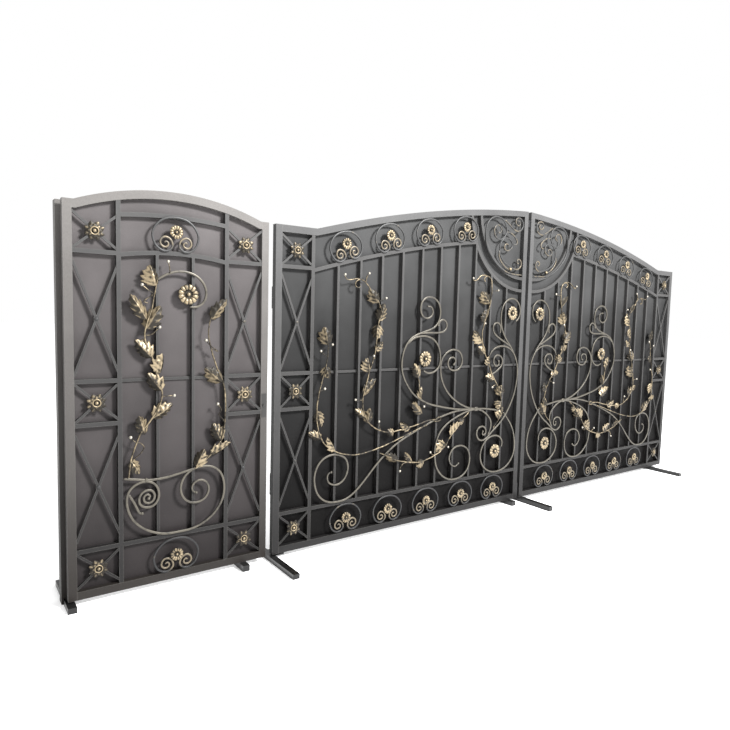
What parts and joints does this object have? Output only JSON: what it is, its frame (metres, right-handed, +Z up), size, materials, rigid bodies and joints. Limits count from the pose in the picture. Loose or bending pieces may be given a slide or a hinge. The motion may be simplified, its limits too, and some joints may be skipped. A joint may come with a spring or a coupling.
{
  "type": "wrought iron gate set",
  "caption": "Arched wrought-iron driveway gate pair with a matching side gate, sheet backed, with scrolls, vines and flowers, hung on square posts with tube feet.",
  "frame": {"origin": "middle of the underside of the left driveway post, on the ground", "axes": "+X along the gate from the side gate to the right post, -Y out of the ornamented face, +Z up"},
  "size_m": [5.626, 0.64, 2.372],
  "materials": {
    "graphite_paint": "semi-matt hammered",
    "rubbed_iron": "dry-brushed semi-matt",
    "patina_gold": "rubbed gold patina over graphite",
    "black_tube": "gloss",
    "lock_steel": "satin"
  },
  "bodies": {
    "posts": {"wicket_post": "graphite_paint", "left_post": "graphite_paint", "right_post": "graphite_paint", "post_feet": "black_tube", "post_knuckles": "graphite_paint"},
    "wicket_leaf": {"wicket_hinge_stile": "graphite_paint", "wicket_lock_stile": "graphite_paint", "wicket_bottom_rail": "graphite_paint", "wicket_arch_rail": "graphite_paint", "wicket_lattice": "graphite_paint", "wicket_sheet": "graphite_paint", "wicket_roundels": "rubbed_iron", "wicket_scrolls": "rubbed_iron", "wicket_vines": "patina_gold", "wicket_rosettes": "patina_gold", "wicket_lock": "lock_steel", "wicket_knuckles": "graphite_paint", "wicket_foot": "black_tube"},
    "left_leaf": {"left_hinge_stile": "graphite_paint", "left_meeting_stile": "graphite_paint", "left_bottom_rail": "graphite_paint", "left_arch_rail": "graphite_paint", "left_lattice": "graphite_paint", "left_sheet": "graphite_paint", "left_roundels": "rubbed_iron", "left_scrolls": "rubbed_iron", "left_vines": "patina_gold", "left_rosettes": "patina_gold", "left_flowers": "patina_gold", "left_knuckles": "graphite_paint", "left_foot": "black_tube", "left_closing_strip": "black_tube"},
    "right_leaf": {"right_hinge_stile": "graphite_paint", "right_meeting_stile": "graphite_paint", "right_bottom_rail": "graphite_paint", "right_arch_rail": "graphite_paint", "right_lattice": "graphite_paint", "right_sheet": "graphite_paint", "right_roundels": "rubbed_iron", "right_scrolls": "rubbed_iron", "right_vines": "patina_gold", "right_rosettes": "patina_gold", "right_flowers": "patina_gold", "right_knuckles": "graphite_paint", "right_foot": "black_tube"}
  },
  "joints": [
    {"name": "wicket_hinge", "type": "hinge", "parent": "posts", "child": "wicket_leaf", "pos_m": [-1.192, -0.038, 1.036], "axis": [0, 0, -1], "range_deg": [0, 90]},
    {"name": "left_hinge", "type": "hinge", "parent": "posts", "child": "left_leaf", "pos_m": [-0.066, -0.038, 1.036], "axis": [0, 0, -1], "range_deg": [0, 90]},
    {"name": "right_hinge", "type": "hinge", "parent": "posts", "child": "right_leaf", "pos_m": [4.386, -0.038, 1.036], "axis": [0, 0, 1], "range_deg": [0, 90]}
  ]
}
